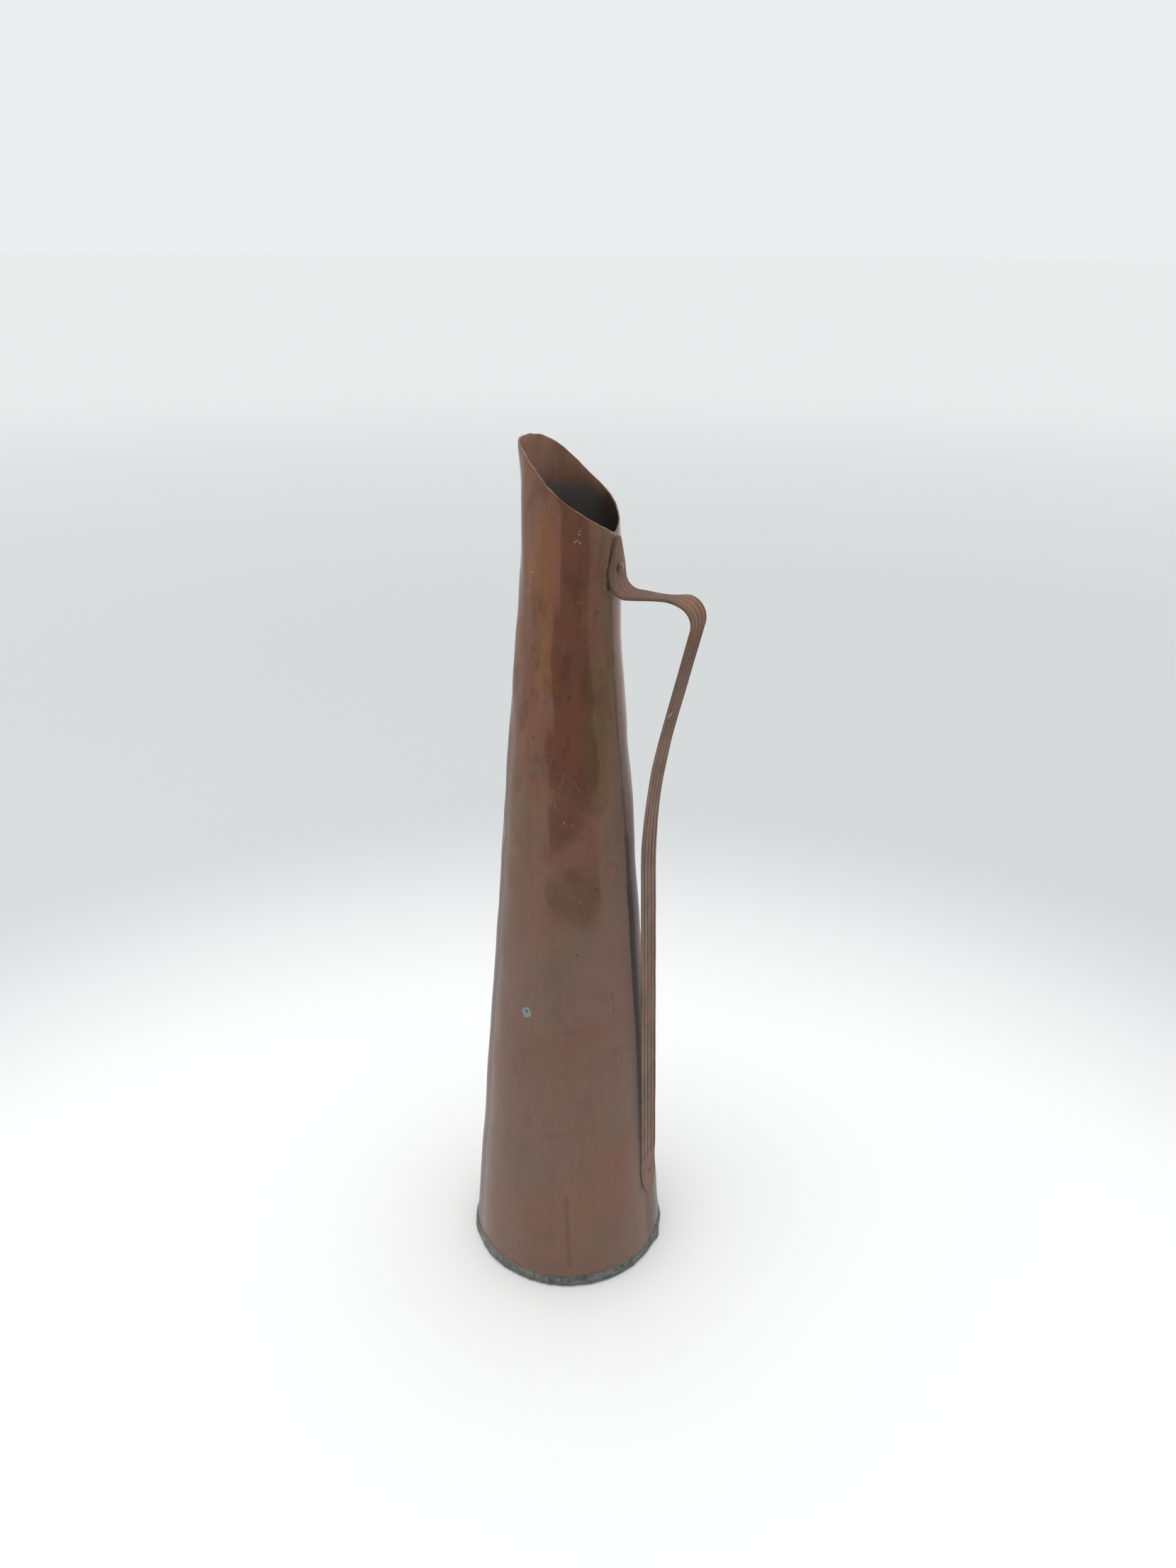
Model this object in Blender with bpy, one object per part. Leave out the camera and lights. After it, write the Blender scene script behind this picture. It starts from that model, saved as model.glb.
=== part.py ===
"""A tall hand-made copper watering can: a tapered sheet body with an oblique mouth and a
drawn-out pouring lip, a soldered base, and a fluted strap handle held by two rivets.

Metres, +Z up. The origin is the middle of the base's underside. The handle is on +X and
the pouring lip on -X. Angles around the body are measured from the handle.
"""

import math

import bmesh
import bpy
from mathutils import Matrix, Vector

MM = 0.001

# Body: a straight cone of sheet, measured on its outer face.
FOOT_RADIUS = 54.3 * MM
TAPER = 0.0803
SHEET = 0.8 * MM
CLEARANCE = 0.3 * MM

# Mouth: the rim climbs from a low point at the handle to the pouring lip.
RIM_LOW = 414.0 * MM
RIM_HIGH = 450.5 * MM
RIM_SLOPE_LOW = 0.77
RIM_SLOPE_HIGH = 0.2
RIM_WING = 4.7 * MM
RIM_WING_AT = math.radians(145)
RIM_WING_SPREAD = math.radians(48)
MOUTH_START = 356 * MM
MOUTH_DRAW = 50 * MM
MOUTH_BULGE = 2.2 * MM
SHOULDER_BULGE = 1.7 * MM
SHOULDER_AT = math.radians(50)
SHOULDER_SPREAD = math.radians(28)
LIP_START = 400 * MM
LIP_FLARE = 4.9 * MM
LIP_CURVE = 1.7
LIP_SPREAD = math.radians(71)

# Lap seam under the handle: one edge is set in by a joggle and lies under the other.
LAP = 10 * MM
JOGGLE = 3 * MM
LAP_INSET = SHEET + CLEARANCE
BRAZE = 1.0 * MM
BRAZE_BOTTOM = 12 * MM
BRAZE_BELOW_RIM = 3 * MM

# Foot: the sheet is drawn in, and solder fills the step and closes the joint below.
SHEET_BOTTOM = 1.2 * MM
FOOT_STEP = 1.4 * MM
FOOT_STEP_TOP = 7.5 * MM
FOOT_STEP_RAMP = 1.0 * MM
BAND_TOP = 7.2 * MM
BAND_PROUD = 0.8 * MM
BAND_SHOULDER = 4.4 * MM
BAND_EDGE = 0.8 * MM
BASE_FLANGE = 8.2 * MM
FILLET_HEIGHT = 2.6 * MM
FILLET_TOP_WIDTH = 0.6 * MM
FILLET_BEVEL = 0.5 * MM
FILLET_STOP = 2 * MM

# Strap handle, measured along its outer face in the plane of the handle.
STRAP = 1.5 * MM
STRAP_WIDTH = 17.5 * MM
NECK_WIDTH = 10 * MM
TIP_WIDTH = 4.0 * MM
TIP_Z = 412.8 * MM
NECK_Z = 387.1 * MM
GRIP_CORNER = (68.7 * MM, 388.5 * MM)
WAIST = (44.4 * MM, 287.0 * MM)
TAIL_TOP_Z = 62 * MM
TAIL_Z = 41 * MM
BEND_RADIUS = 6.5 * MM
CORNER_RADIUS = 10 * MM
WAIST_RADIUS = 300 * MM
TAIL_RADIUS = 90 * MM
STRAP_SEAT = 0.55 * MM
TERMINAL_CURVE = 38 * MM
TAIL_CURVE = 62 * MM
FLUTES = 4
FLUTE_DEPTH = 0.28 * MM
EDGE_ROUND = 0.3 * MM

# Along the strap, from its tip: the spade's end, then where the neck starts to narrow,
# is narrowest, starts to widen and is full width again. The tail's taper is from its end.
SPADE = 14.8 * MM
NECK_FROM = 27 * MM
NECK_NARROW = 45 * MM
NECK_WIDENS = 46 * MM
GRIP_FROM = 56 * MM
TAIL_TAPER = 16 * MM
TAIL_POINT = 1.7
TAIL_BLUNT = 0.05
TERMINAL_END = 26 * MM
TAIL_BED = 30 * MM
BED_FADE = 12 * MM

# Rivets: the shank's, the head's and the low seam rivet's sizes.
SHANK_RADIUS = 1.3 * MM
HEAD_RADIUS = 2.25 * MM
HEAD_HEIGHT = 0.95 * MM
SEAM_HEAD_RADIUS = 1.7 * MM
SEAM_HEAD_HEIGHT = 0.35 * MM
UPPER_RIVET_Z = 398.3 * MM
LOWER_RIVET_Z = 55.3 * MM
SEAM_RIVET_Z = 329 * MM
MOUTH_INNER_RADIUS = 21 * MM
SEAL_WIDTH = 1.5 * MM
SEAL_HEIGHT = 0.7 * MM
SEAL_EDGE = 0.2 * MM
DRILL_REACH = 5 * MM

# Rows up the straight part of the body.
STRAIGHT_LEVELS = [60 * MM, 160 * MM, 260 * MM, MOUTH_START]

# Facets around the body, a turned ring, a rivet and a bend of the strap.
COLUMNS = 60
MOUTH_ROWS = 9
RING_STEPS = 54
RIVET_STEPS = 18
ARC_STEP = math.radians(9)
FLUTE_STEPS = 4
FINE_STEP = 2.2 * MM
COARSE_STEP = 16 * MM


def smooth(t):
    t = min(max(t, 0.0), 1.0)
    return t * t * (3 - 2 * t)


def bell(angle, centre, spread):
    return math.exp(-(((angle - centre) / spread) ** 2))


def from_handle(angle):
    """The angle from the handle's plane, 0 at the handle and pi at the pouring lip."""
    return abs(math.remainder(angle, 2 * math.pi))


def rim_height(angle):
    away = from_handle(angle)
    a = away / math.pi
    climb = RIM_SLOPE_LOW * (a**3 - 2 * a**2 + a) + (3 * a**2 - 2 * a**3)
    climb += RIM_SLOPE_HIGH * (a**3 - a**2)
    wing = RIM_WING * bell(away, RIM_WING_AT, RIM_WING_SPREAD)
    return RIM_LOW + (RIM_HIGH - RIM_LOW) * climb + wing


def wall_radius(angle, z):
    """The outer face of the body sheet, without the foot's step."""
    away = from_handle(angle)
    drawn = smooth((z - (MOUTH_START + 4 * MM)) / MOUTH_DRAW)
    bulge = MOUTH_BULGE * (1 + math.cos(away)) / 2
    bulge += SHOULDER_BULGE * bell(away, SHOULDER_AT, SHOULDER_SPREAD)
    lip = min(max((z - LIP_START) / MOUTH_DRAW, 0.0), 1.0) ** LIP_CURVE
    lip *= LIP_FLARE * bell(away, math.pi, LIP_SPREAD)
    return FOOT_RADIUS - TAPER * z + drawn * bulge + lip


def foot_inset(z):
    return FOOT_STEP * (1 - smooth((z - FOOT_STEP_TOP) / FOOT_STEP_RAMP))


def around(angle, radius, z):
    return Vector((radius * math.cos(angle), radius * math.sin(angle), z))


def new_object(name, mesh_maker, material):
    """Makes an object from a filled bmesh, with its faces turned outwards."""
    mesh_maker.verts.ensure_lookup_table()
    bmesh.ops.recalc_face_normals(mesh_maker, faces=mesh_maker.faces)
    mesh = bpy.data.meshes.new(name)
    mesh_maker.to_mesh(mesh)
    mesh_maker.free()
    mesh.shade_smooth()
    mesh.set_sharp_from_angle(angle=math.radians(35))
    mesh.materials.append(material)
    thing = bpy.data.objects.new(name, mesh)
    bpy.context.scene.collection.objects.link(thing)
    return thing


def loft(bm, sections):
    """Joins rings of points into a skin, and caps its two ends."""
    rings = [[bm.verts.new(point) for point in section] for section in sections]
    count = len(rings[0])
    for first, second in zip(rings, rings[1:]):
        for i in range(count):
            j = (i + 1) % count
            bm.faces.new((first[i], first[j], second[j], second[i]))
    bm.faces.new(rings[0])
    bm.faces.new(reversed(rings[-1]))


def turned(name, profile, steps, material, frame=None):
    """A piece turned around Z from (radius, z) points, whose ends may lie on the axis."""
    bm = bmesh.new()
    on_axis = min(point[0] for point in profile) < 1e-9
    rows = []
    for radius, z in profile:
        if radius < 1e-9:
            rows.append([bm.verts.new((0, 0, z))])
            continue
        turns = [2 * math.pi * k / steps for k in range(steps)]
        rows.append([bm.verts.new(around(turn, radius, z)) for turn in turns])
    pairs = list(zip(rows, rows[1:]))
    if not on_axis:
        pairs.append((rows[-1], rows[0]))
    for lower, upper in pairs:
        for i in range(steps):
            j = (i + 1) % steps
            corners = [lower[i % len(lower)], lower[j % len(lower)]]
            corners += [upper[j % len(upper)], upper[i % len(upper)]]
            corners = list(dict.fromkeys(corners))
            if len(corners) > 2:
                bm.faces.new(corners)
    if frame is not None:
        bmesh.ops.transform(bm, matrix=frame, verts=bm.verts)
    return new_object(name, bm, material)


def metal(name, colour, roughness, metallic=1.0):
    material = bpy.data.materials.new(name)
    material.use_nodes = True
    shader = material.node_tree.nodes["Principled BSDF"]
    shader.inputs["Base Color"].default_value = (*colour, 1.0)
    shader.inputs["Roughness"].default_value = roughness
    shader.inputs["Metallic"].default_value = metallic
    return material


def body_levels():
    """The rows of the straight part of the body, from its foot up."""
    foot = [SHEET_BOTTOM, FOOT_STEP_TOP, FOOT_STEP_TOP + FOOT_STEP_RAMP]
    return foot + STRAIGHT_LEVELS


def body_columns(z):
    """The (angle, inset) of each column at a height, from the lapped edge to the top one."""
    radius = wall_radius(0, z)
    lap = LAP / 2 / radius
    ramp_start = lap + CLEARANCE / radius
    ramp_end = ramp_start + JOGGLE / radius
    columns = [(-lap, LAP_INSET), (0.0, LAP_INSET), (ramp_start, LAP_INSET)]
    sweep = 2 * math.pi + lap - ramp_end
    for k in range(COLUMNS + 1):
        columns.append((ramp_end + sweep * k / COLUMNS, 0.0))
    return columns


def make_body_sheet(material):
    rows = []
    for z in body_levels():
        rows.append([(angle, inset, z) for angle, inset in body_columns(z)])
    for k in range(1, MOUTH_ROWS + 1):
        row = []
        for angle, inset in body_columns(MOUTH_START):
            z = MOUTH_START + (rim_height(angle) - MOUTH_START) * k / MOUTH_ROWS
            row.append((angle, inset, z))
        rows.append(row)
    bm = bmesh.new()
    outer = []
    inner = []
    for row in rows:
        faces = [(a, wall_radius(a, z) - inset - foot_inset(z), z) for a, inset, z in row]
        outer.append([bm.verts.new(around(a, radius, z)) for a, radius, z in faces])
        inner.append([bm.verts.new(around(a, radius - SHEET, z)) for a, radius, z in faces])
    last_row = len(rows) - 1
    last_column = len(rows[0]) - 1
    for i in range(last_row):
        for j in range(last_column):
            for skin in (outer, inner):
                bm.faces.new((skin[i][j], skin[i][j + 1], skin[i + 1][j + 1], skin[i + 1][j]))
        for j in (0, last_column):
            bm.faces.new((outer[i][j], outer[i + 1][j], inner[i + 1][j], inner[i][j]))
    for i in (0, last_row):
        for j in range(last_column):
            bm.faces.new((outer[i][j], outer[i][j + 1], inner[i][j + 1], inner[i][j]))
    return new_object("body_sheet", bm, material)


def inner_wall(angle, z):
    return wall_radius(angle, z) - foot_inset(z) - SHEET


def base_radius():
    """The base plate's outer radius, which clears the lap's inner layer."""
    return inner_wall(0, FOOT_STEP_TOP) - LAP_INSET - CLEARANCE


def make_base_plate(material):
    """A shallow pan: a flat floor with a low flange turned up around it."""
    rim = base_radius()
    profile = [(0, 0), (rim - SHEET, 0), (rim, SHEET), (rim, BASE_FLANGE)]
    profile += [(rim - SHEET, BASE_FLANGE), (rim - SHEET, 2 * SHEET)]
    profile += [(rim - 2 * SHEET, SHEET), (0, SHEET)]
    return turned("base_plate", profile, RING_STEPS, material)


def make_base_solder_band(material):
    under = SHEET_BOTTOM - CLEARANCE
    step = wall_radius(0, 0) - FOOT_STEP + CLEARANCE
    inside = base_radius() + CLEARANCE
    proud = wall_radius(0, 0) + BAND_PROUD
    profile = [(inside, 0), (proud - BAND_EDGE, 0), (proud, BAND_EDGE), (proud, BAND_SHOULDER)]
    profile += [(wall_radius(0, BAND_TOP), BAND_TOP), (step, BAND_TOP)]
    profile += [(step, under), (inside, under)]
    return turned("base_solder_band", profile, RING_STEPS, material)


def make_base_inner_fillet(material):
    """The wipe of solder in the inside corner, which stops either side of the lap."""
    bottom = BASE_FLANGE + CLEARANCE
    top = bottom + FILLET_HEIGHT
    low = base_radius() - SHEET
    start = (LAP / 2 + CLEARANCE + JOGGLE + FILLET_STOP) / FOOT_RADIUS
    sections = []
    for k in range(RING_STEPS + 1):
        angle = start + (2 * math.pi - 2 * start) * k / RING_STEPS
        wall = inner_wall(angle, top) - CLEARANCE
        section = [(wall, bottom), (wall, top), (wall - FILLET_TOP_WIDTH, top - FILLET_BEVEL)]
        section += [(low, bottom + FILLET_BEVEL), (low, bottom)]
        sections.append([around(angle, radius, z) for radius, z in section])
    bm = bmesh.new()
    loft(bm, sections)
    return new_object("base_inner_fillet", bm, material)


def make_seam_braze_bead(material):
    """The bead of braze along the inner edge of the lap, up to just below the rim."""
    levels = [BRAZE_BOTTOM] + STRAIGHT_LEVELS
    top = rim_height(0) - BRAZE_BELOW_RIM
    steps = MOUTH_ROWS - 3
    levels += [MOUTH_START + (top - MOUTH_START) * k / steps for k in range(1, steps + 1)]
    sections = []
    for z in levels:
        # The body's columns keep their angles above the mouth's start.
        edge = LAP / 2 / wall_radius(0, min(z, MOUTH_START))
        radius = wall_radius(0, z) - SHEET - CLEARANCE
        near = -edge - CLEARANCE / radius
        far = near - 1.6 * BRAZE / radius
        section = [around(near, radius, z), around(far, radius, z)]
        section.append(around(near, radius - BRAZE, z))
        sections.append(section)
    bm = bmesh.new()
    loft(bm, sections)
    return new_object("seam_braze_bead", bm, material)


def rounded_path(corners):
    """Points along straight runs whose corners (u, z, radius) are turned into arcs."""
    points = []
    for k, (u, z, radius) in enumerate(corners):
        here = Vector((u, z))
        if k in (0, len(corners) - 1):
            points.append(here)
            continue
        before = (here - Vector(corners[k - 1][:2])).normalized()
        after = (Vector(corners[k + 1][:2]) - here).normalized()
        turn = before.angle_signed(after)
        reach = radius * math.tan(abs(turn) / 2)
        start = here - before * reach
        side = Vector((-before.y, before.x)) * (-1 if turn > 0 else 1)
        centre = start + side * radius
        pieces = max(6, math.ceil(abs(turn) / ARC_STEP))
        for i in range(pieces + 1):
            swing = Matrix.Rotation(-turn * i / pieces, 2)
            points.append(centre + swing @ (start - centre))
    return points


def resampled(points, step):
    """The same path with more points on its long straight runs."""
    path = [points[0]]
    for start, end in zip(points, points[1:]):
        pieces = max(1, math.ceil((end - start).length / step(start)))
        path += [start.lerp(end, k / pieces) for k in range(1, pieces + 1)]
    return path


def strap_corners():
    def seat(z):
        return wall_radius(0, z) + STRAP_SEAT + STRAP

    tail_u = seat(TAIL_TOP_Z)
    return [
        (seat(TIP_Z), TIP_Z, 0),
        (seat(NECK_Z), NECK_Z, BEND_RADIUS),
        (*GRIP_CORNER, CORNER_RADIUS),
        (*WAIST, WAIST_RADIUS),
        (tail_u, TAIL_TOP_Z, TAIL_RADIUS),
        (seat(TAIL_Z), TAIL_Z, 0),
    ]


def strap_width(along, total):
    """The strap's width: a pointed spade, a narrow neck, a full grip and a pointed tail."""
    tip = TIP_WIDTH + (STRAP_WIDTH - TIP_WIDTH) * min(along / SPADE, 1)
    narrowing = smooth((along - NECK_FROM) / (NECK_NARROW - NECK_FROM))
    widening = smooth((along - NECK_WIDENS) / (GRIP_FROM - NECK_WIDENS))
    width = tip + (NECK_WIDTH - STRAP_WIDTH) * (narrowing - widening)
    left = min((total - along) / TAIL_TAPER, 1)
    return width * max(1 - (1 - left) ** TAIL_POINT, TAIL_BLUNT) ** 0.5


def make_handle_strap(material):
    def spacing(point):
        near_end = point.y > NECK_Z - STRAP or point.y < TAIL_TOP_Z
        return FINE_STEP if near_end else COARSE_STEP

    path = resampled(rounded_path(strap_corners()), spacing)
    lengths = [0.0]
    for start, end in zip(path, path[1:]):
        lengths.append(lengths[-1] + (end - start).length)
    total = lengths[-1]
    across = FLUTE_STEPS * FLUTES
    sections = []
    for k, point in enumerate(path):
        before = path[max(k - 1, 0)]
        after = path[min(k + 1, len(path) - 1)]
        ahead = (after - before).normalized()
        normal = Vector((-ahead.y, ahead.x))
        along = lengths[k]
        half = strap_width(along, total) / 2
        terminal = smooth((TERMINAL_END - along) / BED_FADE)
        tail = smooth((TAIL_BED - (total - along)) / BED_FADE)
        curve = terminal / TERMINAL_CURVE + tail / TAIL_CURVE
        flute = FLUTE_DEPTH * (1 - terminal) * (1 - tail)
        outer = []
        inner = []
        for i in range(across + 1):
            share = i / across
            y = half * (2 * share - 1)
            dip = curve * y * y / 2
            groove = flute * (1 - math.cos(2 * math.pi * FLUTES * share)) / 2
            edge = EDGE_ROUND if i in (0, across) else 0.0
            top = point - normal * (dip + groove + edge)
            outer.append(Vector((top.x, y, top.y)))
            if i % FLUTE_STEPS == 0:
                under = point - normal * (STRAP + dip)
                inner.append(Vector((under.x, y, under.y)))
        sections.append(outer + inner[::-1])
    bm = bmesh.new()
    loft(bm, sections)
    return new_object("handle_strap", bm, material)


def wall_frame(z):
    """A frame on the body's outer face in the handle's plane, with its Z axis outwards."""
    lean = (wall_radius(0, z - MM) - wall_radius(0, z + MM)) / (2 * MM)
    outward = Vector((1, 0, lean)).normalized()
    turn = outward.to_track_quat("Z", "Y").to_matrix().to_4x4()
    return Matrix.Translation((wall_radius(0, z), 0, z)) @ turn


def dome(radius, base, height):
    """Profile points of a round head, from its crown down to its edge."""
    steps = 5
    turns = [math.pi / 2 * k / steps for k in range(steps + 1)]
    return [(radius * math.sin(turn), base + height * math.cos(turn)) for turn in turns]


def inner_face(radius):
    """How far below the wall's outer face a flat head of this radius clears both layers."""
    sag = radius**2 / (2 * MOUTH_INNER_RADIUS)
    return -(SHEET + LAP_INSET + CLEARANCE + sag)


def make_rivet(name, z, seat, radius, height, material):
    top = dome(radius, seat, height)
    inside = inner_face(radius)
    bottom = [(r, 2 * inside - level) for r, level in dome(radius, inside, height)][::-1]
    profile = top + [(SHANK_RADIUS, seat), (SHANK_RADIUS, inside)] + bottom
    profile[0] = (0, profile[0][1])
    profile[-1] = (0, profile[-1][1])
    return turned(name, profile, RIVET_STEPS, material, wall_frame(z))


def make_seal(name, z, radius, material):
    """The ring of solder around a rivet's inner head."""
    inside = radius + CLEARANCE
    outside = inside + SEAL_WIDTH
    level = inner_face(outside)
    profile = [(inside, level), (outside, level), (outside, level - SEAL_EDGE)]
    profile += [(inside, level - SEAL_HEIGHT)]
    return turned(name, profile, RIVET_STEPS, material, wall_frame(z))


def drill(target, z):
    """Cuts a clearance hole for a rivet's shank, square to the body's face."""
    bm = bmesh.new()
    bmesh.ops.create_cone(
        bm,
        cap_ends=True,
        segments=RIVET_STEPS,
        radius1=SHANK_RADIUS + CLEARANCE,
        radius2=SHANK_RADIUS + CLEARANCE,
        depth=2 * DRILL_REACH,
        matrix=wall_frame(z),
    )
    cutter = new_object(f"{target.name}_drill_{round(z / MM)}", bm, target.data.materials[0])
    cutter.hide_render = True
    cutter.display_type = "WIRE"
    hole = target.modifiers.new(cutter.name, "BOOLEAN")
    hole.operation = "DIFFERENCE"
    hole.solver = "EXACT"
    hole.object = cutter


def main():
    for thing in list(bpy.data.objects):
        bpy.data.objects.remove(thing)
    sheet_copper = metal("sheet_copper", (0.19, 0.095, 0.06), 0.35)
    strap_copper = metal("strap_copper", (0.21, 0.13, 0.09), 0.45)
    rivet_copper = metal("rivet_copper", (0.16, 0.1, 0.07), 0.45)
    solder = metal("solder", (0.11, 0.12, 0.115), 0.6)
    body = make_body_sheet(sheet_copper)
    make_base_plate(sheet_copper)
    make_base_solder_band(solder)
    make_base_inner_fillet(solder)
    make_seam_braze_bead(solder)
    strap = make_handle_strap(strap_copper)
    on_strap = STRAP_SEAT + STRAP + CLEARANCE
    for name, z in (("upper", UPPER_RIVET_Z), ("lower", LOWER_RIVET_Z)):
        rivet = f"{name}_handle_rivet"
        make_rivet(rivet, z, on_strap, HEAD_RADIUS, HEAD_HEIGHT, rivet_copper)
        make_seal(f"{name}_rivet_seal", z, HEAD_RADIUS, solder)
        drill(body, z)
        drill(strap, z)
    size = (SEAM_HEAD_RADIUS, SEAM_HEAD_HEIGHT)
    make_rivet("seam_rivet", SEAM_RIVET_Z, CLEARANCE, *size, rivet_copper)
    make_seal("seam_rivet_seal", SEAM_RIVET_Z, SEAM_HEAD_RADIUS, solder)
    drill(body, SEAM_RIVET_Z)


main()
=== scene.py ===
"""The looks of a tall hand-made copper watering can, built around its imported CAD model.

Metres, +Z up, handle on +X, pouring lip on -X. Angles round the body start at the handle.
"""

import math

import bpy
import numpy as np
from mathutils import Matrix, Vector


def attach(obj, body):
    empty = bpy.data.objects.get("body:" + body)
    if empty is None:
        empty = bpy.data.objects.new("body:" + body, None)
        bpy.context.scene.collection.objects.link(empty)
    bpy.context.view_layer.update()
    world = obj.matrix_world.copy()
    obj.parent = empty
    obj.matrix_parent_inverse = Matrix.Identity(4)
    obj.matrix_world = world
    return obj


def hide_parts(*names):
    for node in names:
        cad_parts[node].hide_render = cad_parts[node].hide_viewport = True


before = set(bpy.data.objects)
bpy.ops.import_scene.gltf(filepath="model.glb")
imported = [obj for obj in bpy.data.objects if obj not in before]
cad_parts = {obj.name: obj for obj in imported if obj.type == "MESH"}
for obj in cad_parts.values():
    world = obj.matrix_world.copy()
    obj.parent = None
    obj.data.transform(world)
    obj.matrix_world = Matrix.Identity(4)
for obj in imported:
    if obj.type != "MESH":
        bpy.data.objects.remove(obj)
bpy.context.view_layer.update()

MM = 0.001

# The body's shape, as in the CAD: a straight cone with a drawn mouth and a flared lip.
FOOT_RADIUS = 54.3 * MM
TAPER = 0.0803
SHEET = 0.8 * MM
RIM_LOW = 414.0 * MM
RIM_HIGH = 450.5 * MM
RIM_SLOPE_LOW = 0.77
RIM_SLOPE_HIGH = 0.2
RIM_WING = 4.7 * MM
RIM_WING_AT = math.radians(145)
RIM_WING_SPREAD = math.radians(48)
MOUTH_START = 356 * MM
MOUTH_DRAW = 50 * MM
MOUTH_BULGE = 2.2 * MM
SHOULDER_BULGE = 1.7 * MM
SHOULDER_AT = math.radians(50)
SHOULDER_SPREAD = math.radians(28)
LIP_START = 400 * MM
LIP_FLARE = 4.9 * MM
LIP_CURVE = 1.7
LIP_SPREAD = math.radians(71)
SHEET_BOTTOM = 1.2 * MM
FOOT_STEP = 1.4 * MM
FOOT_STEP_RAMP = 0.6 * MM
LAP = 10 * MM

# The strap's path along its outer face, as in the CAD.
STRAP = 1.5 * MM
STRAP_WIDTH = 17.5 * MM
NECK_WIDTH = 10 * MM
TIP_WIDTH = 4.6 * MM
TIP_Z = 412.8 * MM
NECK_Z = 387.1 * MM
GRIP_CORNER = (68.7 * MM, 388.5 * MM)
WAIST = (44.4 * MM, 287.0 * MM)
TAIL_TOP_Z = 62 * MM
TAIL_Z = 41 * MM
BEND_RADIUS = 6.5 * MM
CORNER_RADIUS = 10 * MM
WAIST_RADIUS = 300 * MM
TAIL_RADIUS = 90 * MM
STRAP_SEAT = 0.55 * MM
TERMINAL_CURVE = 38 * MM
TAIL_CURVE = 62 * MM
FLUTES = 4
FLUTE_DEPTH = 0.4 * MM
FLUTES_FROM = 46 * MM
FLUTES_GROW = 22 * MM
SPADE = 14.8 * MM
NECK_FROM = 27 * MM
NECK_NARROW = 45 * MM
NECK_WIDENS = 46 * MM
GRIP_FROM = 56 * MM
TAIL_TAPER = 16 * MM
TAIL_POINT = 1.7
TERMINAL_END = 26 * MM
TAIL_BED = 30 * MM
BED_FADE = 12 * MM
UPPER_RIVET_Z = 398.3 * MM
LOWER_RIVET_Z = 55.3 * MM
SEAM_RIVET_Z = 329 * MM

# The camera stands this far off and this high. Angles are in degrees.
CAMERA_AZIMUTH = 26.81
CAMERA_DISTANCE = 537.6 * MM
CAMERA_HEIGHT = 532 * MM
CAMERA_TURN = 1.04
CAMERA_TILT = 24.67
CAMERA_ROLL = 0.46
FOCAL_SHARE = 1662 / 2212


# ---------------------------------------------------------------- shape of the body

def smooth(t):
    t = np.clip(t, 0, 1)
    return t * t * (3 - 2 * t)


def bell(value, centre, spread):
    return np.exp(-(((value - centre) / spread) ** 2))


def from_handle(angle):
    """0 at the handle and pi at the pouring lip."""
    return np.abs((np.asarray(angle) + math.pi) % (2 * math.pi) - math.pi)


def rim_height(angle):
    away = from_handle(angle)
    a = away / math.pi
    climb = RIM_SLOPE_LOW * (a**3 - 2 * a**2 + a) + (3 * a**2 - 2 * a**3)
    climb = climb + RIM_SLOPE_HIGH * (a**3 - a**2)
    wing = RIM_WING * bell(away, RIM_WING_AT, RIM_WING_SPREAD)
    return RIM_LOW + (RIM_HIGH - RIM_LOW) * climb + wing


def wall_radius(angle, z):
    """The outer face of the body sheet, before hammering."""
    away = from_handle(angle)
    drawn = smooth((z - (MOUTH_START + 4 * MM)) / MOUTH_DRAW)
    bulge = MOUTH_BULGE * (1 + np.cos(away)) / 2
    bulge = bulge + SHOULDER_BULGE * bell(away, SHOULDER_AT, SHOULDER_SPREAD)
    lip = np.clip((z - LIP_START) / MOUTH_DRAW, 0, 1) ** LIP_CURVE
    lip = lip * LIP_FLARE * bell(away, math.pi, LIP_SPREAD)
    return FOOT_RADIUS - TAPER * z + drawn * bulge + lip


def wall_at_handle(z):
    return float(wall_radius(np.array(0.0), np.array(z)))


MEAN_RADIUS = 38 * MM


def waves(angle, z, seed, count, lengths, height, tall=1.0):
    """Smooth random relief that closes around the body, stretched tall times upwards."""
    rng = np.random.default_rng(seed)
    total = np.zeros(np.broadcast(angle, z).shape)
    for _ in range(count):
        length = rng.uniform(*lengths)
        lean = rng.uniform(0, 2 * math.pi)
        turns = round(math.cos(lean) * 2 * math.pi * MEAN_RADIUS / length)
        rise = math.sin(lean) * 2 * math.pi / (length * tall)
        total += np.cos(turns * angle + rise * z + rng.uniform(0, 2 * math.pi))
    return total * height / math.sqrt(count / 2)


# Larger dents: angle in degrees, height and spread in mm, depth in mm.
DENTS = (
    (-152, 372, 16, 0.35), (-155, 300, 22, -0.3), (-150, 208, 26, 0.3), (24, 331, 10, 0.25),
    (20, 290, 20, -0.3), (-80, 352, 14, 0.35), (-70, 300, 15, -0.3), (-48, 268, 18, 0.3),
    (-100, 240, 24, 0.25), (140, 330, 20, 0.35), (95, 250, 26, 0.4), (120, 140, 30, 0.35),
    (60, 180, 24, -0.3), (-120, 90, 30, 0.3), (75, 370, 14, -0.3), (170, 60, 26, 0.3),
)


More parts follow.
